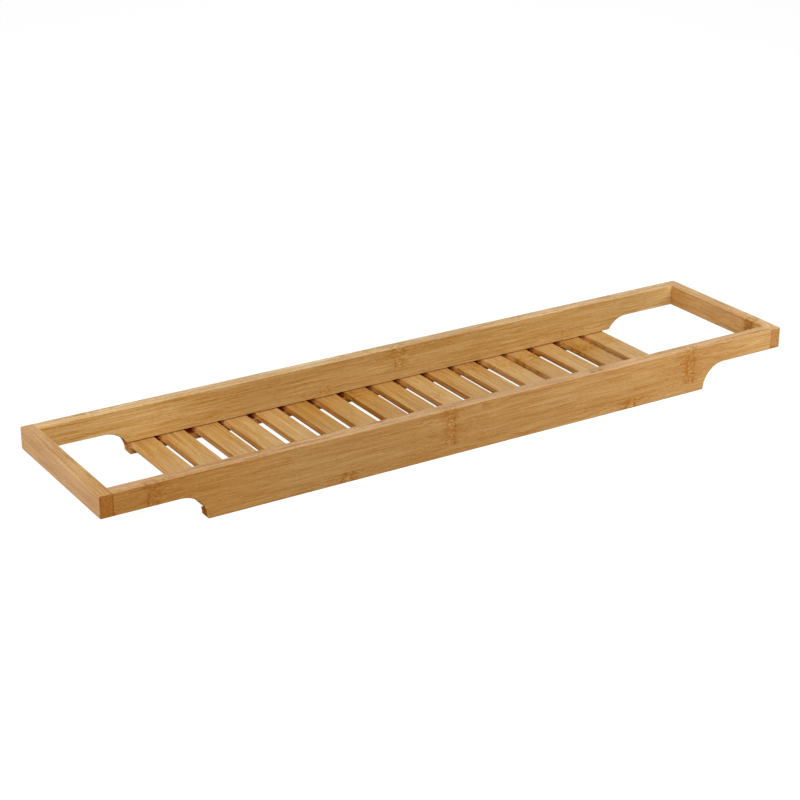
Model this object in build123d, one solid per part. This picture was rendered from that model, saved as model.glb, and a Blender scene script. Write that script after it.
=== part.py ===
from build123d import *
import os

# A bamboo caddy that bridges a bath. Two side rails stand on edge and are cut away near their
# ends, so that slim arms lie on the rims of the bath while the middle drops between them. An end
# rail closes each pair of arms, and a deck of slats is let into grooves in the side rails.
# X runs along the caddy, Y across it and Z up. The origin is under the middle of the caddy, level
# with the bottom of the side rails. All lengths are in millimetres.

# Sizes of the whole caddy
overall_length = 700.0
overall_width = 157.0
rail_height = 43.0

# Side rails: what is left above the scoops, and how far the arms reach past the drop
side_rail_thickness = 12.0
arm_height = 19.6
arm_reach = 92.7

# End rails
end_rail_thickness = 12.0

# Groove along the inner face of each side rail, above a lip and in front of a thin web
lip_height = 6.0
web_thickness = 3.5

# Slats and the room that the groove leaves around their ends
slat_width = 21.6
slat_thickness = 5.6
slat_gap = 9.0
slat_play = 0.5
slat_end_gap = 0.5

# Deck: laid from the left scoop, so it stops a little further from the right one
deck_inset_left = 1.0
deck_inset_right = 5.2

# The slats are placed by hand, so each gap is a share of the usual one. The list starts again if
# the deck has more gaps than this.
gap_shares = (
    0.79, 1.24, 0.79, 1.10, 0.99, 0.99, 1.08, 0.88,
    0.98, 1.00, 0.97, 1.09, 0.87, 1.13, 1.15, 0.95,
)

# Blind dowel at each corner, with room for glue around it and at its ends
dowel_thickness_share = 0.5
dowel_end_rail_share = 0.65
dowel_arm_depth = 16.0
dowel_chamfer = 0.6
glue_film = 0.1
glue_pocket = 0.5

# Sanded edges
edge_round = 0.6
corner_round = 1.5
slat_round = 0.5

# Places that follow from the sizes
half_length = overall_length / 2
half_width = overall_width / 2
half_drop = half_length - arm_reach
scoop_radius = rail_height - arm_height
arm_end = half_length - end_rail_thickness
rail_inner_face = half_width - side_rail_thickness
arm_middle = rail_height - arm_height / 2

groove_height = slat_thickness + slat_play
groove_depth = side_rail_thickness - web_thickness
groove_length = 2 * (half_drop + scoop_radius)

dowel_radius = side_rail_thickness * dowel_thickness_share / 2
dowel_end_depth = end_rail_thickness * dowel_end_rail_share
dowel_length = dowel_arm_depth + dowel_end_depth
dowel_centre = arm_end + (dowel_end_depth - dowel_arm_depth) / 2


def corner_bars(radius, length):
    """Round bars along X, one across the joint at each corner of the caddy."""
    bar = Rot(0, 90, 0) * Cylinder(radius, length)
    middle_of_rail = rail_inner_face + side_rail_thickness / 2
    places = [
        (end * dowel_centre, side * middle_of_rail, arm_middle)
        for end in (-1, 1)
        for side in (-1, 1)
    ]
    return [Pos(*place) * bar for place in places]


def dowels():
    """Four dowels with chamfered ends."""
    bars = corner_bars(dowel_radius, dowel_length)
    return [chamfer(bar.edges().filter_by(GeomType.CIRCLE), dowel_chamfer) for bar in bars]


def dowel_bores():
    """The holes that the dowels are glued into, half in the arm and half in the end rail."""
    return corner_bars(dowel_radius + glue_film, dowel_length + 2 * glue_pocket)


def rail_outline():
    """Side view of a side rail: a deep middle, a quarter-round scoop and an arm at each end."""
    with BuildSketch(Plane.XZ.offset(rail_inner_face)) as outline:
        with BuildLine():
            Line((0, 0), (half_drop, 0))
            scoop = CenterArc((half_drop + scoop_radius, 0), scoop_radius, 180, -90)
            Polyline(
                scoop @ 1,
                (arm_end, scoop_radius),
                (arm_end, rail_height),
                (0, rail_height),
            )
            mirror(about=Plane.YZ)
        make_face()
    return outline.sketch


def front_side_rail():
    """Plank with its scoops, sanded edges, the groove for the slats and bores in its arm ends."""
    plank = extrude(rail_outline(), side_rail_thickness)
    long_edges = plank.faces().filter_by(Axis.Y).edges() - plank.edges().filter_by(Axis.Z)
    scoop_feet = plank.edges().filter_by(Axis.Y).group_by(Axis.Z)[0]
    plank = fillet(long_edges + scoop_feet, edge_round)
    groove = Pos(0, -rail_inner_face, lip_height) * Box(
        groove_length,
        groove_depth,
        groove_height,
        align=(Align.CENTER, Align.MAX, Align.MIN),
    )
    return plank - groove - dowel_bores()


def rounded_waste(length):
    """What sanding takes off an edge along Y. The edge is at the origin, with wood to -X and -Z."""
    corner = Box(edge_round, length, edge_round, align=(Align.MAX, Align.CENTER, Align.MAX))
    kept = Pos(-edge_round, 0, -edge_round) * Rot(90, 0, 0) * Cylinder(edge_round, length)
    return corner - kept


def left_end_rail():
    """Bar across both arms, rounded outside, and inside only between the side rails."""
    bar = Pos(-arm_end, 0, arm_middle) * Box(
        end_rail_thickness,
        overall_width,
        arm_height,
        align=(Align.MAX, Align.CENTER, Align.CENTER),
    )
    outer_corners = bar.edges().filter_by(Axis.Z).group_by(Axis.X)[0]
    bar = fillet(outer_corners, corner_round)
    rims = bar.faces().filter_by(Axis.Z).edges()
    inner_edges = rims.group_by(Axis.X)[-1]
    bar = fillet(rims - inner_edges, edge_round)
    upper_waste = rounded_waste(2 * rail_inner_face)
    lower_waste = mirror(upper_waste, about=Plane.XY)
    bar -= Pos(-arm_end, 0, rail_height) * upper_waste
    bar -= Pos(-arm_end, 0, rail_height - arm_height) * lower_waste
    return bar - dowel_bores()


def slat(left_edge):
    """One slat, lying on the lips of both grooves, with its long edges sanded."""
    bar = Pos(left_edge, 0, lip_height) * Box(
        slat_width,
        2 * (half_width - web_thickness - slat_end_gap),
        slat_thickness,
        align=(Align.MIN, Align.CENTER, Align.MIN),
    )
    return fillet(bar.edges().filter_by(Axis.Y), slat_round)


def slat_places():
    """Left edges of the slats: as many as fit the deck, with the spare length shared as gaps."""
    deck_start = -half_drop + deck_inset_left
    deck_length = half_drop - deck_inset_right - deck_start
    slat_count = round((deck_length + slat_gap) / (slat_width + slat_gap))
    shares = [gap_shares[index % len(gap_shares)] for index in range(slat_count - 1)]
    spare_length = deck_length - slat_count * slat_width
    left_edges = [deck_start]
    for share in shares:
        gap = spare_length * share / sum(shares)
        left_edges.append(left_edges[-1] + slat_width + gap)
    return left_edges


def caddy_pieces():
    """Every piece of the caddy in its place, by name."""
    front_rail = front_side_rail()
    left_rail = left_end_rail()
    pieces = {
        "side_rail_front": front_rail,
        "side_rail_rear": mirror(front_rail, about=Plane.XZ),
        "end_rail_left": left_rail,
        "end_rail_right": mirror(left_rail, about=Plane.YZ),
        "corner_dowels": Compound(children=dowels()),
    }
    for number, left_edge in enumerate(slat_places(), start=1):
        pieces[f"slat_{number:02d}"] = slat(left_edge)
    return pieces


os.makedirs("parts", exist_ok=True)
for name, piece in caddy_pieces().items():
    piece.label = name
    export_step(piece, f"parts/{name}.step")
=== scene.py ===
import math
from collections import namedtuple
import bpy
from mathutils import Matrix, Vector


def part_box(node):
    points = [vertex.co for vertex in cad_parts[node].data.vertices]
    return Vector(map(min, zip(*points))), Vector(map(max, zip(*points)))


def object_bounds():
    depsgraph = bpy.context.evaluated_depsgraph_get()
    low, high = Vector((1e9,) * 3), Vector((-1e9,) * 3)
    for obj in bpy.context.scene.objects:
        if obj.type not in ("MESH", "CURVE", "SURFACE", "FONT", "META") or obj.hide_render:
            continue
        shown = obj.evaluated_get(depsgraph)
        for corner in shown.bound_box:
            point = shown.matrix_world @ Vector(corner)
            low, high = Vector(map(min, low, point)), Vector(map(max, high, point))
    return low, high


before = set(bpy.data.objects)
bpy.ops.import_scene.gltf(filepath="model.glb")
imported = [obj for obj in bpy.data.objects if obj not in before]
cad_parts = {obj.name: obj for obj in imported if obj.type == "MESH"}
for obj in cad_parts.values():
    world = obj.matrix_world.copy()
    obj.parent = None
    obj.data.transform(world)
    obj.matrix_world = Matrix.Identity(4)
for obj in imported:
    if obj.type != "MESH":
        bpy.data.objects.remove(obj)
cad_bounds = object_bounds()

from copy import copy

import bpy
from mathutils import Matrix, Vector

# Finishes the bamboo of a bath caddy and sets it up in a plain white studio. The pieces come from
# model.glb, in metres, with X along the caddy, Y across it and Z up. Inside the materials, places
# are in millimetres.

bl_info = {
    "name": "Bath Caddy",
    "version": (1, 0, 0),
    "blender": (4, 5, 0),
    "location": "View3D > Sidebar > Bath Caddy",
    "description": "Finishes the bamboo of a slatted bath caddy and lights it in a white studio",
    "category": "Object",
}

MILLIMETRES = 1000.0
SENSOR_WIDTH = 36.0
X, Y, Z = 0, 1, 2
ORIGIN = (0.0, 0.0, 0.0)
WHITE = (1.0, 1.0, 1.0)

# The sockets of a Mix node that mixes colours
COLOUR_A = 6
COLOUR_B = 7
COLOUR_RESULT = 2

# How deep a slat's end sits in the groove of a side rail, and the play above it and past its end,
# in millimetres
SLAT_SEAT = 8.0
SLAT_PLAY = 0.5

# Bars are glued up from strips. A strip has knuckles, the places along the fibres where the stem was
# jointed, in millimetres from the origin. Strength says how plainly they show, and tone is above 0
# where the strip is paler than the rest and below 0 where it is darker.
Strip = namedtuple("Strip", "knuckles strength tone")

# A layer of two strips: the height of the seam between them, and the stretch of it where the glue
# shows as a dark line.
Layer = namedtuple("Layer", "seam line lower upper")

# A stretch of a bar that differs from the rest: where its middle is along the fibres, how far it
# reaches to each side, how amber it is (or how pale, below 0), and how light (or dark, below 0).
Patch = namedtuple("Patch", "middle reach warmth light")

# How strongly red, green and blue follow the tone of the bamboo, on its faces and on its worn tops,
# how they follow its warmth, how they follow its light, and how they follow the shade of a sawn side
FACE_CONTRAST = (0.95, 1.8, 3.5)
TOP_CONTRAST = (1.7, 2.45, 3.5)
WARMTH_CONTRAST = (-0.18, -0.30, -0.58)
EVEN_CONTRAST = (1.0, 1.0, 1.0)
SIDE_CONTRAST = (0.4, 0.6, 1.0)

# How much each kind of mark changes the tone of the bamboo
CLOUD_TONE = 0.30
STREAK_TONE = 0.40
FIBRE_TONE = 0.70
FLECK_TONE = 0.35
LINE_TONE = 0.70
STRIP_TONE = 0.10

# How far the band of a knuckle strays along the fibres of a rail and of a slat, in millimetres
KNUCKLE_UNEVENNESS = 2.0
SLAT_KNUCKLE_UNEVENNESS = 3.0

# How dark each part of a knuckle's scar is
HALO_DARK = 0.14
RIM_DARK = 0.60
SMEAR_DARK = 0.45
CRUMB_DARK = 0.70

# How far the tops of the rails are worn, and how far the cut ends of the bars have darkened
WORN_TOPS = 0.85
LEFT_CUT_ENDS = 1.0
RIGHT_CUT_ENDS = 0.22
SLAT_CUT_ENDS = 0.8

# A seam with no line has its stretch beyond every bar
NO_LINE = (-1000.0, -1000.0)

FRONT_RAIL_OUTSIDE = Layer(
    seam=9.5,
    line=NO_LINE,
    lower=Strip((-128.0, 172.0), 1.7, 0.1),
    upper=Strip((-305.0, -25.0, 240.0), 1.25, 0.0),
)
FRONT_RAIL_INSIDE = Layer(
    seam=27.0,
    line=(-180.0, -40.0),
    lower=Strip((-205.0, 71.0), 0.6, 0.0),
    upper=Strip((-88.0, 188.0), 0.7, -0.1),
)
REAR_RAIL_INSIDE = Layer(
    seam=22.0,
    line=(107.0, 268.0),
    lower=Strip((-65.0, 208.0), 0.5, 0.1),
    upper=Strip((14.0,), 1.1, 0.0),
)
REAR_RAIL_OUTSIDE = Layer(
    seam=31.0,
    line=(-90.0, 160.0),
    lower=Strip((-160.0, 118.0), 0.8, 0.0),
    upper=Strip((-290.0, -20.0, 262.0), 0.9, 0.0),
)
LEFT_END_LAYER = Layer(
    seam=33.5,
    line=NO_LINE,
    lower=Strip((), 0.0, 0.0),
    upper=Strip((), 0.0, 0.1),
)
RIGHT_END_LAYER = Layer(
    seam=33.5,
    line=NO_LINE,
    lower=Strip((-47.0,), 1.4, 0.0),
    upper=Strip((-47.0,), 1.4, 0.1),
)

FRONT_RAIL_PATCHES = (
    Patch(-350.0, 200.0, 0.95, 0.20),
    Patch(-215.0, 70.0, 0.1, 0.035),
    Patch(-60.0, 200.0, 0.35, -0.035),
    Patch(115.0, 90.0, 0.0, -0.04),
    Patch(340.0, 80.0, -0.6, 0.0),
)
FRONT_TOP_PATCHES = (
    Patch(-290.0, 60.0, 0.05, -0.02),
    Patch(-150.0, 90.0, 0.0, 0.05),
    # Painted light: the top is lighter towards the right end, where more light falls on it from above
    Patch(300.0, 230.0, 0.0, 0.135),
)
REAR_RAIL_PATCHES = (
    # Paler and lighter towards the left end; the lightness is painted light against the shade of the
    # left end rail
    Patch(-345.0, 230.0, -0.27, 0.37),
    Patch(60.0, 110.0, 0.1, -0.04),
    Patch(345.0, 70.0, -0.8, 0.05),
    # Painted light: this small light patch covers the shadow that the right end rail casts in the
    # inner corner
    Patch(342.0, 14.0, 0.1, 0.36),
)
REAR_TOP_PATCHES = (
    Patch(-300.0, 80.0, -0.15, 0.02),
    Patch(0.0, 100.0, 0.3, -0.05),
    Patch(150.0, 70.0, 0.0, 0.05),
    # Painted light: the top is lighter towards the right end, where more light falls on it from above
    Patch(290.0, 230.0, 0.0, 0.12),
)
LEFT_END_PATCHES = (Patch(-80.0, 60.0, 0.1, 0.0),)
LEFT_TOP_PATCHES = (
    Patch(0.0, 200.0, 0.3, 0.04),
    Patch(-80.0, 80.0, 0.5, -0.08),
    Patch(70.0, 50.0, -0.1, 0.02),
)
RIGHT_END_PATCHES = (
    Patch(0.0, 200.0, 0.0, 0.13),
    Patch(58.0, 24.0, 0.5, 0.0),
    Patch(-47.5, 8.5, 0.9, -0.12),
    Patch(-80.0, 9.0, 0.0, -0.42),
)
RIGHT_TOP_PATCHES = (Patch(40.0, 60.0, 0.1, 0.0),)

# Short dark stains on the worn top of the front rail: their places along it and across the caddy
FRONT_RAIL_STAINS = ((129.5, -74.2), (138.0, -73.6))

# How each slat differs from the rest, from the left end to the right: its warmth, how clearly its
# fibre lines show, how dark its sides are and, where it has a knuckle, the knuckle's place across
# the caddy, in millimetres, and how strong it is.
SlatLook = namedtuple("SlatLook", "warmth lines sides knuckle strength", defaults=(0.0, 0.0))

SLAT_LOOKS = (
    SlatLook(0.0, 0.6, 0.1),
    SlatLook(0.0, 0.8, 0.8),
    SlatLook(0.1, 0.7, 1.0),
    SlatLook(-0.2, 0.4, 0.8),
    SlatLook(-0.25, 0.8, 0.9),
    SlatLook(0.7, 0.7, 1.2),
    SlatLook(0.25, 0.6, 1.3),
    SlatLook(0.65, 0.5, 1.7, 56.0, 0.8),
    SlatLook(0.25, 0.6, 1.5),
    SlatLook(-0.5, 0.3, 1.1, 16.0, 0.4),
    SlatLook(0.3, 0.6, 1.4),
    SlatLook(0.1, 0.4, 1.3, 58.0, 0.6),
    SlatLook(-0.4, 0.3, 0.9, 49.0, 0.5),
    SlatLook(0.0, 0.5, 1.0, 46.0, 0.9),
    SlatLook(-0.3, 0.6, 1.0),
    SlatLook(0.5, 0.6, 1.0, 41.0, 1.1),
    SlatLook(-0.45, 0.4, 0.9, 44.0, 0.5),
)

# A square soft lamp: its name, which the setting of its power shares, its width and place, and the
# place that it points at, in metres
Lamp = namedtuple("Lamp", "name width place target")

LAMPS = (
    Lamp("front_lamp", 1.0, (-1.0, -1.4, 1.3), ORIGIN),
    Lamp("right_lamp", 0.6, (0.5, -0.8, 0.5), (0.25, 0.0, 0.0)),
    Lamp("left_lamp", 0.8, (-1.5, 0.2, 1.0), ORIGIN),
    Lamp("back_lamp", 1.2, (0.95, 1.5, 0.75), ORIGIN),
)


def shade(name, description, default):
    """A colour that the user can change, in linear light."""
    return bpy.props.FloatVectorProperty(
        name=name,
        description=description,
        subtype="COLOR",
        size=3,
        min=0.0,
        max=1.0,
        default=default,
    )


def length(name, description, default):
    """A length that the user can change, in metres."""
    return bpy.props.FloatProperty(
        name=name,
        description=description,
        unit="LENGTH",
        min=0.0,
        default=default,
    )


def share(name, description, default):
    """A share from 0 to 1 that the user can change."""
    return bpy.props.FloatProperty(
        name=name,
        description=description,
        subtype="FACTOR",
        min=0.0,
        max=1.0,
        default=default,
    )


def power(name, description, default):
    """The power of a lamp that the user can change, in watts."""
    return bpy.props.FloatProperty(
        name=name,
        description=description,
        unit="POWER",
        min=0.0,
        default=default,
    )


class CaddyBamboo(bpy.types.PropertyGroup):
    """Colours and grain of the bamboo."""

    honey: shade("Honey", "Main colour of the front rail", (0.397, 0.205, 0.0585))
    straw: shade("Straw", "Main colour of the rear rail", (0.396, 0.222, 0.069))
    toffee: shade("Toffee", "Main colour of the end rails", (0.507, 0.259, 0.080))
    slat: shade("Slat", "Main colour of the slats", (0.488, 0.278, 0.0905))
    sawn: shade("Sawn", "Colour of the sawn sides of the slats", (0.430, 0.205, 0.060))
    # The groove colour is bare sawn bamboo with the shade deep inside the grooves painted in
    groove: shade("Groove", "Colour of the sawn grooves of the side rails", (0.300, 0.050, 0.005))
    # The two scoop colours are one sawn bamboo, painted as a shaded copy in front and a lit copy at
    # the back
    shaded_scoop: shade("Dark scoop", "Colour of the sawn scoops in front", (0.460, 0.160, 0.022))
    lit_scoop: shade("Light scoop", "Colour of the sawn scoops at the back", (0.900, 0.440, 0.125))
    pale: shade("Pale", "Colour of sanded edges", (0.600, 0.340, 0.120))
    worn: shade("Worn", "Colour of the tops in front and on the left", (0.497, 0.306, 0.151))
    faded: shade("Faded", "Colour of the top on the right", (0.554, 0.353, 0.170))
    dry: shade("Dry", "Colour of the top at the back", (0.639, 0.427, 0.217))
    pore: shade("Pore", "Colour of the fibres that show as dots in a cut end", (0.270, 0.085, 0.010))
    end_grain: shade("End grain", "Colour where the fibres are cut across", (0.372, 0.137, 0.022))
    # The glue colour also serves the stains and the painted shadow lines where the slats enter the
    # grooves
    glue: shade("Glue", "Colour of the glue lines", (0.200, 0.075, 0.018))
    streak_length: length("Streak length", "Length of a streak along the fibres", 0.09)
    streak_width: length("Streak width", "Width of a streak", 0.0024)
    fibre_length: length("Fibre length", "Length of a bundle of fibres", 0.045)
    fibre_width: length("Fibre width", "Width of a bundle of fibres", 0.0009)
    roughness: share("Roughness", "Roughness of the satin oil", 0.40)
    gloss: share("Gloss", "Strength of the oil's reflection", 0.27)


class CaddyDowels(bpy.types.PropertyGroup):
    """Colours of the dowels inside the corners."""

    beech: shade("Beech", "Main colour of the dowels", (0.520, 0.340, 0.190))
    fleck: shade("Fleck", "Colour of the short flecks in them", (0.360, 0.200, 0.095))
    roughness: share("Roughness", "Roughness of the bare wood", 0.62)


class CaddyStudio(bpy.types.PropertyGroup):
    """Floor, light and camera."""

    floor_size: length("Floor size", "Side of the square floor", 24.0)
    floor_gap: length("Floor gap", "Distance of the floor below the caddy", 0.0002)
    floor_colour: shade("Floor", "Colour of the floor", (0.20, 0.20, 0.20))
    floor_glow: share("Floor glow", "Share of plain white in the floor that the camera sees", 0.86)
    sky: share("Sky", "Strength of the even light from all round", 0.126)
    front_lamp: power("Front lamp", "Power of the soft lamp in front on the left", 19.2)
    right_lamp: power("Right lamp", "Power of the low soft lamp in front on the right", 10.2)
    left_lamp: power("Left lamp", "Power of the high soft lamp on the left", 19.5)
    back_lamp: power("Back lamp", "Power of the low soft lamp behind the right end", 1.2)
    camera_place: bpy.props.FloatVectorProperty(
        name="Camera",
        description="Place of the camera",
        subtype="TRANSLATION",
        unit="LENGTH",
        default=(-0.878678, -1.327385, 0.689747),
    )
    camera_turn: bpy.props.FloatProperty(
        name="Turn",
        description="How far the camera looks to the right of straight across the caddy",
        subtype="ANGLE",
        default=math.radians(32.6995),
    )
    camera_dip: bpy.props.FloatProperty(
        name="Dip",
        description="How far the camera looks below the horizon",
        subtype="ANGLE",
        default=math.radians(22.8934),
    )
    camera_roll: bpy.props.FloatProperty(
        name="Roll",
        description="How far the camera is tilted sideways",
        subtype="ANGLE",
        default=math.radians(0.4378),
    )
    camera_lens: bpy.props.FloatProperty(
        name="Lens",
        description="Focal length on a sensor 36 mm wide",
        unit="CAMERA",
        default=87.2166,
    )


class Wire:
    """One output of a shader node. An expression on wires and numbers adds its Math nodes."""

    def __init__(self, recipe, socket):
        self.recipe = recipe
        self.socket = socket

    def __add__(self, other):
        return self.recipe.math("ADD", self, other)

    def __radd__(self, other):
        return self.recipe.math("ADD", other, self)

    def __sub__(self, other):
        return self.recipe.math("SUBTRACT", self, other)

    def __rsub__(self, other):
        return self.recipe.math("SUBTRACT", other, self)

    def __mul__(self, other):
        return self.recipe.math("MULTIPLY", self, other)

    def __rmul__(self, other):
        return self.recipe.math("MULTIPLY", other, self)

    def __truediv__(self, other):
        return self.recipe.math("DIVIDE", self, other)

    def __rtruediv__(self, other):
        return self.recipe.math("DIVIDE", other, self)

    def __abs__(self):
        return self.recipe.math("ABSOLUTE", self)


class Recipe:
    """The nodes of one material or of the world."""

    def __init__(self, tree):
        self.tree = tree
        tree.nodes.clear()

    def feed(self, socket, value):
        """Links an output to a socket, or sets the socket to a number or a colour."""
        if isinstance(value, Wire):
            value = value.socket
        if isinstance(value, bpy.types.NodeSocket):
            self.tree.links.new(value, socket)
        elif socket.type == "RGBA":
            socket.default_value = (*value, 1.0)
        elif socket.type == "VECTOR" and isinstance(value, float):
            socket.default_value = (value, value, value)
        else:
            socket.default_value = value

    def node(self, kind, settings=None, values=None):
        """Adds a node: first its settings, then the values or links of its sockets."""
        made = self.tree.nodes.new(kind)
        for name, setting in (settings or {}).items():
            setattr(made, name, setting)
        for name, value in (values or {}).items():
            self.feed(made.inputs[name], value)
        return made

    def math(self, operation, *operands):
        """A Math node on wires and numbers."""
        made = self.node("ShaderNodeMath", {"operation": operation}, dict(enumerate(operands)))
        return Wire(self, made.outputs["Value"])

    def rise(self, value, start, end):
        """Goes smoothly from 0 at the start to 1 at the end, and so falls where the end is lower."""
        made = self.node(
            "ShaderNodeMapRange",
            {"interpolation_type": "SMOOTHSTEP"},
            {"Value": value, "From Min": start, "From Max": end},
        )
        return Wire(self, made.outputs["Result"])

    def mix(self, amount, first, second):
        """A colour between two others."""
        made = self.node(
            "ShaderNodeMix",
            {"data_type": "RGBA"},
            {"Factor": amount, COLOUR_A: first, COLOUR_B: second},
        )
        return made.outputs[COLOUR_RESULT]

    def vary(self, colour, amount, contrast):
        """A colour changed by an amount, which each channel follows by its own contrast."""
        factor = self.node(
            "ShaderNodeVectorMath",
            {"operation": "MULTIPLY_ADD"},
            {0: amount, 1: contrast, 2: WHITE},
        )
        made = self.node(
            "ShaderNodeVectorMath",
            {"operation": "MULTIPLY"},
            {0: colour, 1: factor.outputs["Vector"]},
        )
        return made.outputs["Vector"]

    def split(self, vector):
        """The three parts of a vector."""
        made = self.node("ShaderNodeSeparateXYZ", values={"Vector": vector})
        return [Wire(self, output) for output in made.outputs]

    def point(self, x, y, z):
        """A vector from its three parts."""
        made = self.node("ShaderNodeCombineXYZ", values={"X": x, "Y": y, "Z": z})
        return made.outputs["Vector"]

    def clouds(self, x, y, z, detail=2.0):
        """Smooth noise with lumps about one unit wide, from 0 to 1 and mostly near 0.5."""
        made = self.node(
            "ShaderNodeTexNoise",
            {"noise_dimensions": "3D"},
            {"Vector": self.point(x, y, z), "Scale": 1.0, "Detail": detail},
        )
        return Wire(self, made.outputs["Fac"])

    def cells(self, x, y, z):
        """Distance to the nearest of the points that lie scattered about one unit apart."""
        made = self.node(
            "ShaderNodeTexVoronoi",
            {"voronoi_dimensions": "3D", "feature": "F1"},
            {"Vector": self.point(x, y, z), "Scale": 1.0},
        )
        return Wire(self, made.outputs["Distance"])

    def bump(self, height):
        """The normal of a surface with a height in millimetres."""
        values = {"Distance": 1 / MILLIMETRES, "Height": height}
        return self.node("ShaderNodeBump", values=values).outputs["Normal"]

    def mix_shaders(self, amount, first, second):
        """A shader between two others."""
        made = self.node("ShaderNodeMixShader", values={0: amount, 1: first, 2: second})
        return made.outputs["Shader"]


class Grain:
    """A point of a bar in millimetres along, across and through its fibres, and its normal."""

    def __init__(self, recipe, along, across, through):
        metres = recipe.node("ShaderNodeTexCoord").outputs["Object"]
        scaled = recipe.node(
            "ShaderNodeVectorMath",
            {"operation": "SCALE"},
            {"Vector": metres, "Scale": MILLIMETRES},
        )
        place = recipe.split(scaled.outputs["Vector"])
        normal = recipe.split(recipe.node("ShaderNodeNewGeometry").outputs["Normal"])
        self.recipe = recipe
        self.along = place[along]
        self.across = place[across]
        self.through = place[through]
        self.facing_along = abs(normal[along])
        self.facing_across = abs(normal[across])
        self.facing_through = abs(normal[through])
        self.facing_up = normal[Z]

    def moved(self, further, aside):
        """The point moved further along the fibres, and aside both across and through them."""
        other = copy(self)
        other.along = self.along + further
        other.across = self.across + aside
        other.through = self.through + aside
        return other

    def lumps(self, long, wide, deep=None, detail=2.0):
        """Noise with lumps of these millimetres along, across and through the fibres."""
        deep = deep or wide
        return self.recipe.clouds(self.along / long, self.across / wide, self.through / deep, detail)

    def dots(self, long, wide):
        """Distance to the nearest of the dots about these millimetres apart, as a share of them."""
        return self.recipe.cells(self.along / long, self.across / wide, self.through / wide)


# What the fibres of a bar do at a point: distance to the nearest knuckle and how plainly it shows,
# how dark a glue line is, how much paler the strip is, how far its grain is shifted along the bar,
# and how clear its fibre lines are.
Figure = namedtuple("Figure", "distance strength glue tone shift lines", defaults=(0.0,) * 4)

# The surface of a bar: its main colour, that of its top and how far the top is worn, the colour of
# sawn faces without oil and how far a point is on one, how dark the cut ends are and how far a point
# is at their rim, and how plainly a dark mark lies at a point: a stain on the front rail, and the
# painted shadow line where a slat enters a groove.
Surface = namedtuple(
    "Surface", "main top worn bare sawn end_grain rim stain", defaults=(0.0,) * 4
)


def new_material(name):
    """An empty material and the recipe that fills it."""
    material = bpy.data.materials.new(name)
    material.use_nodes = True
    return material, Recipe(material.node_tree)


def nearest_knuckle(recipe, along, places):
    """Distance along the fibres to the nearest knuckle of a strip."""
    out_of_reach = 1000.0
    distance = out_of_reach
    for place in places:
        distance = recipe.math("MINIMUM", distance, abs(along - place))
    return distance


def between(first, second, amount):
    """A value between two others, which may be plain numbers."""
    return first + (second - first) * amount


def uneven(recipe, grain, size):
    """A place along the fibres, shifted by up to a size, so that a knuckle's band runs unevenly."""
    lump = 6.0
    usual_swing = 0.25
    swing = recipe.clouds(grain.across / lump, grain.through / lump, 0.0) - 0.5
    return grain.along + swing * (size / usual_swing)


def figure_of_layer(recipe, grain, along, layer):
    """Knuckle, glue line, tone and shift in a layer of two strips."""
    seam_blur = 0.05
    line_edge = 0.42
    line_core = 0.12
    fade = 12.0
    break_length = 14.0
    glue_dark = 0.6
    strip_shift = 370.0
    above_seam = recipe.rise(grain.across, layer.seam - seam_blur, layer.seam + seam_blur)

    # The line fades at both ends of its stretch and has breaks
    line_start, line_end = layer.line
    line = recipe.rise(grain.along, line_start - fade, line_start)
    line = line * recipe.rise(grain.along, line_end + fade, line_end)
    breaks = recipe.clouds(grain.along / break_length, grain.through / break_length, 0.0)
    line = line * recipe.rise(breaks, 0.36, 0.56)
    line = recipe.rise(abs(grain.across - layer.seam), line_edge, line_core) * line
    return Figure(
        distance=between(
            nearest_knuckle(recipe, along, layer.lower.knuckles),
            nearest_knuckle(recipe, along, layer.upper.knuckles),
            above_seam,
        ),
        strength=between(layer.lower.strength, layer.upper.strength, above_seam),
        glue=line * glue_dark,
        tone=between(layer.lower.tone, layer.upper.tone, above_seam),
        shift=above_seam * strip_shift,
    )


def patched(recipe, along, colour, patches):
    """A colour with the amber, pale, light and dark stretches of a bar."""
    warmth = 0.0
    light = 0.0
    full_share = 0.2
    for patch in patches:
        off_middle = abs(along - patch.middle)
        nearness = recipe.rise(off_middle, patch.reach, full_share * patch.reach)
        warmth = nearness * patch.warmth + warmth
        light = nearness * patch.light + light
    colour = recipe.vary(colour, warmth, WARMTH_CONTRAST)
    return recipe.vary(colour, light, EVEN_CONTRAST)


def wood_tone(recipe, grain, bamboo, figure):
    """How much paler or darker than its colour the bamboo is, and the part that its fibres have."""
    # How strongly the fibres wave everywhere, turn beside a knuckle and swirl around it
    wave, turn, swirl = 2.6, 7.0, 8.0
    waves = grain.lumps(long=34, wide=13, detail=1.0) - 0.5
    swirls = grain.lumps(long=16, wide=9, detail=1.0) - 0.5
    turns = grain.lumps(long=6, wide=5) - 0.5
    beside = recipe.rise(figure.distance, 16.0, 2.0) * figure.strength
    around = recipe.rise(figure.distance, 55.0, 5.0) * figure.strength
    wander = waves * wave + turns * beside * turn + swirls * around * swirl
    wavy = grain.moved(figure.shift, wander)

    streak_length = bamboo.streak_length * MILLIMETRES
    streak_width = bamboo.streak_width * MILLIMETRES
    fibre_length = bamboo.fibre_length * MILLIMETRES
    fibre_width = bamboo.fibre_width * MILLIMETRES
    clouds = wavy.lumps(long=110, wide=9, detail=1.0) - 0.5
    streaks = wavy.lumps(streak_length, streak_width) - 0.5
    fibres = wavy.lumps(fibre_length, fibre_width) - 0.5
    flecks = wavy.lumps(long=3.2, wide=0.7, detail=1.0) - 0.5
    lines = wavy.lumps(long=260, wide=0.9, deep=4, detail=0.0) - 0.5
    tone = clouds * CLOUD_TONE + streaks * STREAK_TONE + fibres * FIBRE_TONE + flecks * FLECK_TONE
    return tone + lines * (LINE_TONE * figure.lines) + figure.tone * STRIP_TONE, fibres


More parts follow.
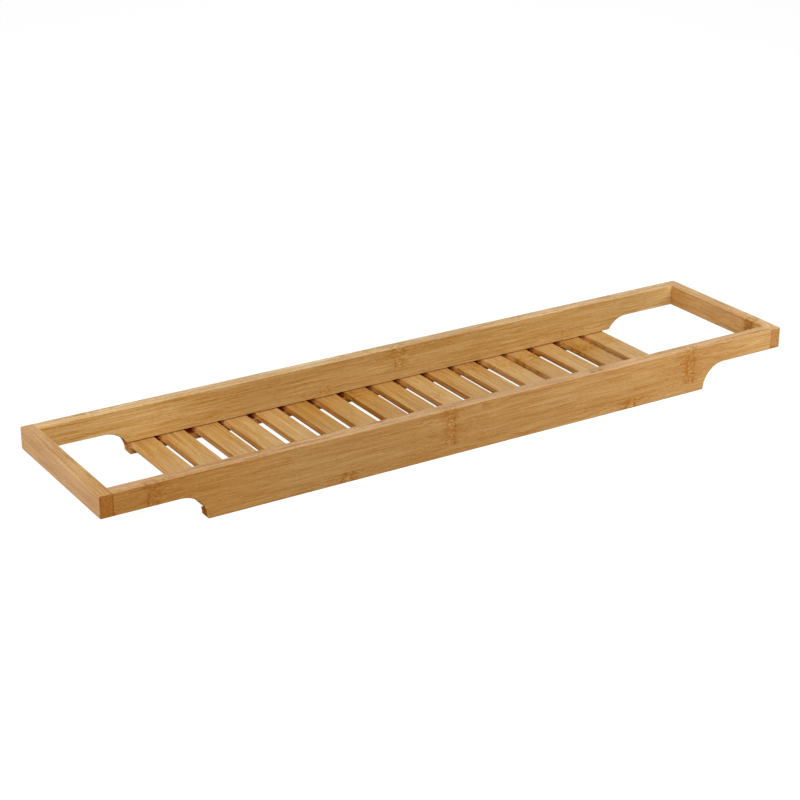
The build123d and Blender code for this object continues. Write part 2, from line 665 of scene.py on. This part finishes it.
def knuckle_marks(recipe, grain, figure):
    """How dark the scar of a knuckle is at a point, and how plainly a pale fleck lies there."""
    distance = figure.distance
    lumps = grain.lumps(long=8, wide=6, detail=1.0)
    marks = grain.lumps(long=2.8, wide=1.6)
    strokes = grain.lumps(long=14, wide=1.5, detail=1.0)
    grains = grain.lumps(long=1.8, wide=1.1, detail=1.0)

    # The scar has an uneven rim on each side of its middle line
    rim_distance = 4.0
    rim_wobble = 12.0
    wobble_width = 4.0
    wobble = recipe.clouds(grain.across / wobble_width, grain.through / wobble_width, 0.0, 1.0) - 0.5
    off_rim = abs(distance - (rim_distance + wobble * rim_wobble))

    halo = recipe.rise(distance, 15.0, 2.0)
    rims = recipe.rise(off_rim, 1.8, 0.5) * recipe.rise(lumps, 0.38, 0.54)
    smears = recipe.rise(distance, 22.0, 4.0) * recipe.rise(strokes, 0.47, 0.63)
    crumbs = recipe.rise(distance, 8.5, 4.0) * recipe.rise(marks, 0.49, 0.58)
    scar = halo * HALO_DARK + rims * RIM_DARK + smears * SMEAR_DARK + crumbs * CRUMB_DARK
    fleck = recipe.rise(distance, 4.5, 1.6) * recipe.rise(grains, 0.52, 0.62)
    return scar * figure.strength, fleck * figure.strength


def bamboo_colour(recipe, grain, bamboo, figure, surface, tone):
    """The colour at a point, how dark a knuckle's scar is there, and how little oil shines there."""
    # Tops are worn and mottled
    least_wear, most_wear = 0.55, 1.15
    mottle = grain.lumps(long=6, wide=2.4)
    top = recipe.rise(grain.facing_up, 0.6, 0.95) * surface.worn * (1.0 - surface.sawn)
    colour = recipe.mix(surface.sawn, surface.main, surface.bare)
    colour = recipe.mix(top * between(least_wear, most_wear, mottle), colour, surface.top)

    # Cut ends drink more oil, most at their rims
    rim_share = 0.9
    cut_end = recipe.rise(grain.facing_along, 0.45, 0.9)
    colour = recipe.mix(cut_end * surface.end_grain, colour, bamboo.end_grain)
    colour = recipe.mix(cut_end * surface.rim * surface.end_grain * rim_share, colour, bamboo.pore)

    # Knuckles are scars of dark fibres with pale flecks, and show less on a worn top
    scar_tone = 0.21
    fleck_tone = 0.17
    darkest_tone = -0.27
    hidden_by_wear = 0.6
    scar, fleck = knuckle_marks(recipe, grain, figure)
    shown = 1 - top * hidden_by_wear
    tone = recipe.math("MAXIMUM", tone - scar * shown * scar_tone, darkest_tone)
    tone = tone + fleck * shown * fleck_tone
    colour = recipe.vary(colour, tone, recipe.mix(top, FACE_CONTRAST, TOP_CONTRAST))

    # The fibres show as dots in a cut end, and stains, painted shadow lines and glue lines are dark
    dot_share = 0.3
    stain_share = 0.75
    dots = recipe.rise(grain.dots(long=40, wide=0.9), 0.42, 0.2)
    colour = recipe.mix(cut_end * dots * dot_share, colour, bamboo.pore)
    colour = recipe.mix(surface.stain * stain_share, colour, bamboo.glue)
    colour = recipe.mix(figure.glue * (1 - cut_end * 0.5) * (1 - top), colour, bamboo.glue)

    # Sanded edges are a little paler, unevenly
    edge_share = 0.2
    flattest = recipe.math("MAXIMUM", grain.facing_across, grain.facing_through)
    flattest = recipe.math("MAXIMUM", flattest, grain.facing_along)
    edge = recipe.rise(flattest, 0.97, 0.80) * recipe.rise(mottle, 0.30, 0.60)
    colour = recipe.mix(edge * edge_share, colour, bamboo.pale)

    # Sawn faces have no oil, and cut ends and worn tops have half of it
    half_oiled = recipe.math("MAXIMUM", cut_end, top) * 0.5
    return colour, scar, recipe.math("MAXIMUM", surface.sawn, half_oiled)


def bamboo_finish(recipe, grain, bamboo, figure, surface):
    """Bamboo under satin oil, mixed with bare bamboo where the surface is dull."""
    tone, fibres = wood_tone(recipe, grain, bamboo, figure)
    colour, scar, dull = bamboo_colour(recipe, grain, bamboo, figure, surface, tone)
    bare_roughness = 0.9
    roughness = bamboo.roughness + fibres * 0.12 + scar * 0.08 + dull * 0.2
    bump = recipe.bump(fibres * 0.05 - scar * 0.03 - figure.glue * 0.02)
    oiled = recipe.node(
        "ShaderNodeBsdfPrincipled",
        values={
            "Base Color": colour,
            "Roughness": roughness,
            "Specular IOR Level": bamboo.gloss,
            "Normal": bump,
        },
    )
    bare = recipe.node(
        "ShaderNodeBsdfPrincipled",
        values={
            "Base Color": colour,
            "Roughness": bare_roughness,
            "Specular IOR Level": 0.0,
            "Normal": bump,
        },
    )
    shader = recipe.mix_shaders(dull, oiled.outputs["BSDF"], bare.outputs["BSDF"])
    recipe.node("ShaderNodeOutputMaterial", values={"Surface": shader})


def stain_at(recipe, grain, places):
    """How plainly one of the short dark stains lies at a point."""
    half_length = 4.2
    half_width = 1.9
    stain = 0.0
    for along, through in places:
        spread = abs(grain.along - along) / half_length + abs(grain.through - through) / half_width
        stain = recipe.math("MAXIMUM", stain, recipe.rise(spread, 1.2, 0.7))
    return stain


def groove_at(recipe, grain):
    """How far a point is in a groove or on the lip below it, and how far it is deep in a groove."""
    lowest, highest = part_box("slat_01")
    deck_end = abs(lowest.x) * MILLIMETRES
    slat_end = highest.y * MILLIMETRES
    rail_face = slat_end - SLAT_SEAT
    off_middle = abs(grain.through)

    # The blur lies past the walls of the groove, so that they are all groove
    blur = 0.2
    top = highest.z * MILLIMETRES + SLAT_PLAY
    bottom = slat_end + SLAT_PLAY + blur / 2
    groove = recipe.rise(grain.across, top + blur, top)
    groove = groove * recipe.rise(off_middle, bottom + blur, bottom)

    # It is deep from about 1 mm behind the rail's face, and only where the deck lies
    deep = recipe.rise(off_middle, rail_face + 0.2, rail_face + 1.5)
    deep = deep * recipe.rise(abs(grain.along), deck_end + 1.0, deck_end - 5.0)
    return groove, deep


def side_rail_bamboo(name, bamboo, layers, middle, main, top, scoop, stains):
    """Material of a side rail, glued up in its middle from an outer and an inner layer."""
    material, recipe = new_material(name)
    grain = Grain(recipe, X, Z, Y)
    along = uneven(recipe, grain, KNUCKLE_UNEVENNESS)
    seam_blur = 0.05
    layer_shift = 910.0
    outer, inner = (figure_of_layer(recipe, grain, along, layer) for layer in layers)
    inner = inner._replace(shift=inner.shift + layer_shift)
    inside = recipe.rise(abs(grain.through), middle + seam_blur, middle - seam_blur)
    figure = Figure(*(between(first, second, inside) for first, second in zip(outer, inner)))
    main = patched(recipe, grain.along, *main)
    top = patched(recipe, grain.along, *top)

    # The scoops of the front rail are light along its outer face: the lit scoop colour there is
    # painted light on a stripe that lies in shade
    lowest, _ = cad_bounds
    front_face = lowest.y * MILLIMETRES
    outer_edge = recipe.rise(grain.through, front_face + 3.3, front_face + 1.7)
    scoop = recipe.mix(outer_edge, scoop, bamboo.lit_scoop)
    scooped = recipe.rise(grain.facing_along, 0.2, 0.5)

    # The grooves have most of the scoops' colour, except where they are deep: there the groove colour
    # paints in the shade of the recess
    mouth_share = 0.7
    groove, deep = groove_at(recipe, grain)
    paler = recipe.math("MAXIMUM", scooped, mouth_share - deep * mouth_share)
    surface = Surface(
        main=main,
        top=top,
        worn=WORN_TOPS,
        bare=recipe.mix(paler, bamboo.groove, scoop),
        sawn=recipe.math("MAXIMUM", groove, scooped),
        stain=stain_at(recipe, grain, stains),
    )
    bamboo_finish(recipe, grain, bamboo, figure, surface)
    return material


def end_rail_bamboo(name, bamboo, layer, middle, main, top, end_grain):
    """Material of an end rail, one layer of two strips with their fibres across the caddy."""
    material, recipe = new_material(name)
    grain = Grain(recipe, Y, Z, X)
    figure = figure_of_layer(recipe, grain, uneven(recipe, grain, KNUCKLE_UNEVENNESS), layer)
    main = patched(recipe, grain.along, *main)

    # It has no sawn faces, and the rim of a cut end is its outer millimetre or so
    surface = Surface(
        main=main,
        top=patched(recipe, grain.along, *top),
        worn=WORN_TOPS,
        bare=main,
        end_grain=end_grain,
        rim=recipe.rise(abs(grain.through - middle), 4.2, 5.7),
    )
    bamboo_finish(recipe, grain, bamboo, figure, surface)
    return material


def slat_bamboo(slat, bamboo, look):
    """Material of a slat, one thin strip with its fibres across the caddy."""
    material, recipe = new_material(f"bamboo_{slat}")
    grain = Grain(recipe, Y, X, Z)
    distance = abs(uneven(recipe, grain, SLAT_KNUCKLE_UNEVENNESS) - look.knuckle)
    figure = Figure(distance, look.strength, lines=look.lines)

    # The far half is a little warmer and lighter
    cloud_warmth = 0.8
    far_warmth = 0.3
    far_light = 0.05
    far_half = recipe.rise(grain.along, 10.0, 62.0)
    clouds = grain.lumps(long=60, wide=30) - 0.5
    warmth = clouds * cloud_warmth + look.warmth + far_half * far_warmth
    main = recipe.vary(bamboo.slat, warmth, WARMTH_CONTRAST)
    main = recipe.vary(main, far_half * far_light, EVEN_CONTRAST)

    # The sides are painted paler close to the rear rail, light that makes up for the shade the rail
    # casts there
    painted_light = 0.7
    _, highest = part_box(slat)
    rail_face = highest.y * MILLIMETRES - SLAT_SEAT
    near_rear = recipe.rise(grain.along, rail_face - 16.0, rail_face - 2.0)
    side = recipe.vary(bamboo.sawn, 1.0 - look.sides, SIDE_CONTRAST)
    side = recipe.vary(side, near_rear * painted_light, EVEN_CONTRAST)

    # A painted shadow line lies on the top where the slat enters a groove
    line_share = 0.95
    painted_shadow_line = recipe.rise(abs(grain.along), rail_face - 2.2, rail_face - 0.6) * line_share
    surface = Surface(
        main=main,
        top=main,
        worn=0.0,
        bare=side,
        sawn=recipe.rise(grain.facing_across, 0.5, 0.9),
        end_grain=SLAT_CUT_ENDS,
        stain=painted_shadow_line * recipe.rise(grain.facing_up, 0.3, 0.8),
    )
    bamboo_finish(recipe, grain, bamboo, figure, surface)
    return material


def dowel_beech(name, dowels):
    """Material of the dowels: pale beech with short flecks along X."""
    material, recipe = new_material(name)
    grain = Grain(recipe, X, Z, Y)
    fleck_share = 0.6
    line_share = 0.3
    flecks = recipe.rise(grain.dots(long=2.2, wide=0.5), 0.35, 0.15)
    lines = grain.lumps(long=20, wide=0.6)
    colour = recipe.mix(flecks * fleck_share, dowels.beech, dowels.fleck)
    colour = recipe.mix(recipe.rise(lines, 0.5, 0.7) * line_share, colour, dowels.fleck)
    shader = recipe.node(
        "ShaderNodeBsdfPrincipled",
        values={
            "Base Color": colour,
            "Roughness": dowels.roughness + (lines - 0.5) * 0.1,
            "Normal": recipe.bump(lines * 0.02),
        },
    )
    recipe.node("ShaderNodeOutputMaterial", values={"Surface": shader.outputs["BSDF"]})
    return material


def finish_node(name, material):
    """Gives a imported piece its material."""
    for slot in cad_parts[name].material_slots:
        slot.material = material


class CADDY_OT_side_rails(bpy.types.Operator):
    """Finishes the two side rails."""

    bl_idname = "caddy.side_rails"
    bl_label = "Side Rails"

    def execute(self, context):
        bamboo = context.scene.caddy_bamboo
        lowest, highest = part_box("side_rail_rear")
        middle = (lowest.y + highest.y) / 2 * MILLIMETRES
        front = side_rail_bamboo(
            "bamboo_side_rail_front",
            bamboo,
            (FRONT_RAIL_OUTSIDE, FRONT_RAIL_INSIDE),
            middle,
            (bamboo.honey, FRONT_RAIL_PATCHES),
            (bamboo.worn, FRONT_TOP_PATCHES),
            bamboo.shaded_scoop,
            FRONT_RAIL_STAINS,
        )
        rear = side_rail_bamboo(
            "bamboo_side_rail_rear",
            bamboo,
            (REAR_RAIL_OUTSIDE, REAR_RAIL_INSIDE),
            middle,
            (bamboo.straw, REAR_RAIL_PATCHES),
            (bamboo.dry, REAR_TOP_PATCHES),
            bamboo.lit_scoop,
            (),
        )
        finish_node("side_rail_front", front)
        finish_node("side_rail_rear", rear)
        return {"FINISHED"}


class CADDY_OT_end_rails(bpy.types.Operator):
    """Finishes the two end rails."""

    bl_idname = "caddy.end_rails"
    bl_label = "End Rails"

    def execute(self, context):
        bamboo = context.scene.caddy_bamboo
        lowest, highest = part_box("end_rail_right")
        middle = (lowest.x + highest.x) / 2 * MILLIMETRES
        left = end_rail_bamboo(
            "bamboo_end_rail_left",
            bamboo,
            LEFT_END_LAYER,
            -middle,
            (bamboo.toffee, LEFT_END_PATCHES),
            (bamboo.worn, LEFT_TOP_PATCHES),
            LEFT_CUT_ENDS,
        )
        right = end_rail_bamboo(
            "bamboo_end_rail_right",
            bamboo,
            RIGHT_END_LAYER,
            middle,
            (bamboo.toffee, RIGHT_END_PATCHES),
            (bamboo.faded, RIGHT_TOP_PATCHES),
            RIGHT_CUT_ENDS,
        )
        finish_node("end_rail_left", left)
        finish_node("end_rail_right", right)
        return {"FINISHED"}


class CADDY_OT_slats(bpy.types.Operator):
    """Finishes every slat, each with its own tone, fibre lines and knuckle."""

    bl_idname = "caddy.slats"
    bl_label = "Slats"

    def execute(self, context):
        bamboo = context.scene.caddy_bamboo
        names = sorted(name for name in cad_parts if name.startswith("slat_"))
        for index, name in enumerate(names):
            look = SLAT_LOOKS[index % len(SLAT_LOOKS)]
            finish_node(name, slat_bamboo(name, bamboo, look))
        return {"FINISHED"}


class CADDY_OT_dowels(bpy.types.Operator):
    """Finishes the dowels hidden in the corners."""

    bl_idname = "caddy.dowels"
    bl_label = "Corner Dowels"

    def execute(self, context):
        finish_node("corner_dowels", dowel_beech("beech_dowels", context.scene.caddy_dowels))
        return {"FINISHED"}


def rays_that_show(recipe):
    """1 for a ray that shows the studio straight or through glass, and 1 for those and glosses."""
    path = recipe.node("ShaderNodeLightPath").outputs
    straight = recipe.math("MAXIMUM", path["Is Camera Ray"], path["Is Transmission Ray"])
    return straight, recipe.math("MAXIMUM", straight, path["Is Glossy Ray"])


def studio_floor(studio):
    """A large white floor that keeps a faint shadow, and can't be seen from below."""
    half = studio.floor_size / 2
    lowest, _ = cad_bounds
    height = lowest.z - studio.floor_gap
    corners = [(x, y, height) for x, y in ((-half, -half), (half, -half), (half, half), (-half, half))]
    mesh = bpy.data.meshes.new("studio_floor")
    mesh.from_pydata(corners, [], [(0, 1, 2, 3)])
    floor = bpy.data.objects.new("studio_floor", mesh)
    bpy.context.scene.collection.objects.link(floor)

    # The glow is over 1, so that the lit floor is white with the paint's share as well
    glow_strength = 1.1
    material, recipe = new_material("studio_floor_white")
    straight, seen = rays_that_show(recipe)
    colour = recipe.mix(seen, studio.floor_colour, WHITE)
    paint = recipe.node("ShaderNodeBsdfDiffuse", values={"Color": colour})
    glow = recipe.node("ShaderNodeEmission", values={"Color": WHITE, "Strength": glow_strength})
    share_of_glow = straight * studio.floor_glow
    lit = recipe.mix_shaders(share_of_glow, paint.outputs["BSDF"], glow.outputs["Emission"])
    below = recipe.node("ShaderNodeNewGeometry").outputs["Backfacing"]
    clear = recipe.node("ShaderNodeBsdfTransparent")
    whole = recipe.mix_shaders(below, lit, clear.outputs["BSDF"])
    recipe.node("ShaderNodeOutputMaterial", values={"Surface": whole})
    mesh.materials.append(material)


def studio_sky(studio):
    """Even white light from all round, which shows as plain white."""
    world = bpy.data.worlds.new("studio_sky")
    world.use_nodes = True
    recipe = Recipe(world.node_tree)
    _, seen = rays_that_show(recipe)
    strength = between(studio.sky, 1.0, seen)
    sky = recipe.node("ShaderNodeBackground", values={"Color": WHITE, "Strength": strength})
    recipe.node("ShaderNodeOutputWorld", values={"Surface": sky.outputs["Background"]})
    bpy.context.scene.world = world


def soft_lamp(lamp, watts):
    """Hangs a square soft lamp and points it at its target."""
    light = bpy.data.lights.new(lamp.name, "AREA")
    light.energy = watts
    light.shape = "SQUARE"
    light.size = lamp.width
    holder = bpy.data.objects.new(lamp.name, light)
    holder.location = lamp.place
    aim = Vector(lamp.target) - Vector(lamp.place)
    holder.rotation_euler = aim.to_track_quat("-Z", "Y").to_euler()
    bpy.context.scene.collection.objects.link(holder)


def studio_camera(studio):
    """The camera at the photograph's place and angle."""
    camera = bpy.data.cameras.new("studio_camera")
    camera.lens = studio.camera_lens
    camera.sensor_width = SENSOR_WIDTH
    holder = bpy.data.objects.new("studio_camera", camera)
    bpy.context.scene.collection.objects.link(holder)
    turn = Matrix.Rotation(-studio.camera_turn, 4, "Z")
    dip = Matrix.Rotation(math.radians(90) - studio.camera_dip, 4, "X")
    roll = Matrix.Rotation(studio.camera_roll, 4, "Z")
    holder.matrix_world = Matrix.Translation(studio.camera_place) @ turn @ dip @ roll
    bpy.context.scene.camera = holder


class CADDY_OT_studio(bpy.types.Operator):
    """Builds the stage: white floor, sky, four soft lamps and the camera."""

    bl_idname = "caddy.studio"
    bl_label = "Studio"

    def execute(self, context):
        studio = context.scene.caddy_studio
        studio_floor(studio)
        studio_sky(studio)
        for lamp in LAMPS:
            soft_lamp(lamp, getattr(studio, lamp.name))
        studio_camera(studio)
        context.scene.view_settings.view_transform = "Standard"
        return {"FINISHED"}


PROPERTY_GROUPS = {
    "caddy_bamboo": CaddyBamboo,
    "caddy_dowels": CaddyDowels,
    "caddy_studio": CaddyStudio,
}
OPERATORS = (
    CADDY_OT_side_rails,
    CADDY_OT_end_rails,
    CADDY_OT_slats,
    CADDY_OT_dowels,
    CADDY_OT_studio,
)


class CADDY_PT_sidebar(bpy.types.Panel):
    """Lists the caddy's settings and the buttons that finish its pieces."""

    bl_label = "Bath Caddy"
    bl_space_type = "VIEW_3D"
    bl_region_type = "UI"
    bl_category = "Bath Caddy"

    def draw(self, context):
        for group_name, group in PROPERTY_GROUPS.items():
            column = self.layout.column()
            for setting in group.__annotations__:
                column.prop(getattr(context.scene, group_name), setting)
        for operator in OPERATORS:
            self.layout.operator(operator.bl_idname)


def register():
    """Registers the settings, the operators and the panel."""
    for group_name, group in PROPERTY_GROUPS.items():
        bpy.utils.register_class(group)
        setattr(bpy.types.Scene, group_name, bpy.props.PointerProperty(type=group))
    for operator in OPERATORS:
        bpy.utils.register_class(operator)
    bpy.utils.register_class(CADDY_PT_sidebar)


def unregister():
    """Removes what register added, in the opposite order."""
    bpy.utils.unregister_class(CADDY_PT_sidebar)
    for operator in reversed(OPERATORS):
        bpy.utils.unregister_class(operator)
    for group_name, group in PROPERTY_GROUPS.items():
        delattr(bpy.types.Scene, group_name)
        bpy.utils.unregister_class(group)


def write_sizes():
    """Updates the view layer."""
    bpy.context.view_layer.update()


def main():
    """Finishes the caddy, builds the studio around it and updates the view layer."""
    register()
    bpy.ops.caddy.side_rails()
    bpy.ops.caddy.end_rails()
    bpy.ops.caddy.slats()
    bpy.ops.caddy.dowels()
    bpy.ops.caddy.studio()
    write_sizes()


if __name__ == "__main__":
    main()
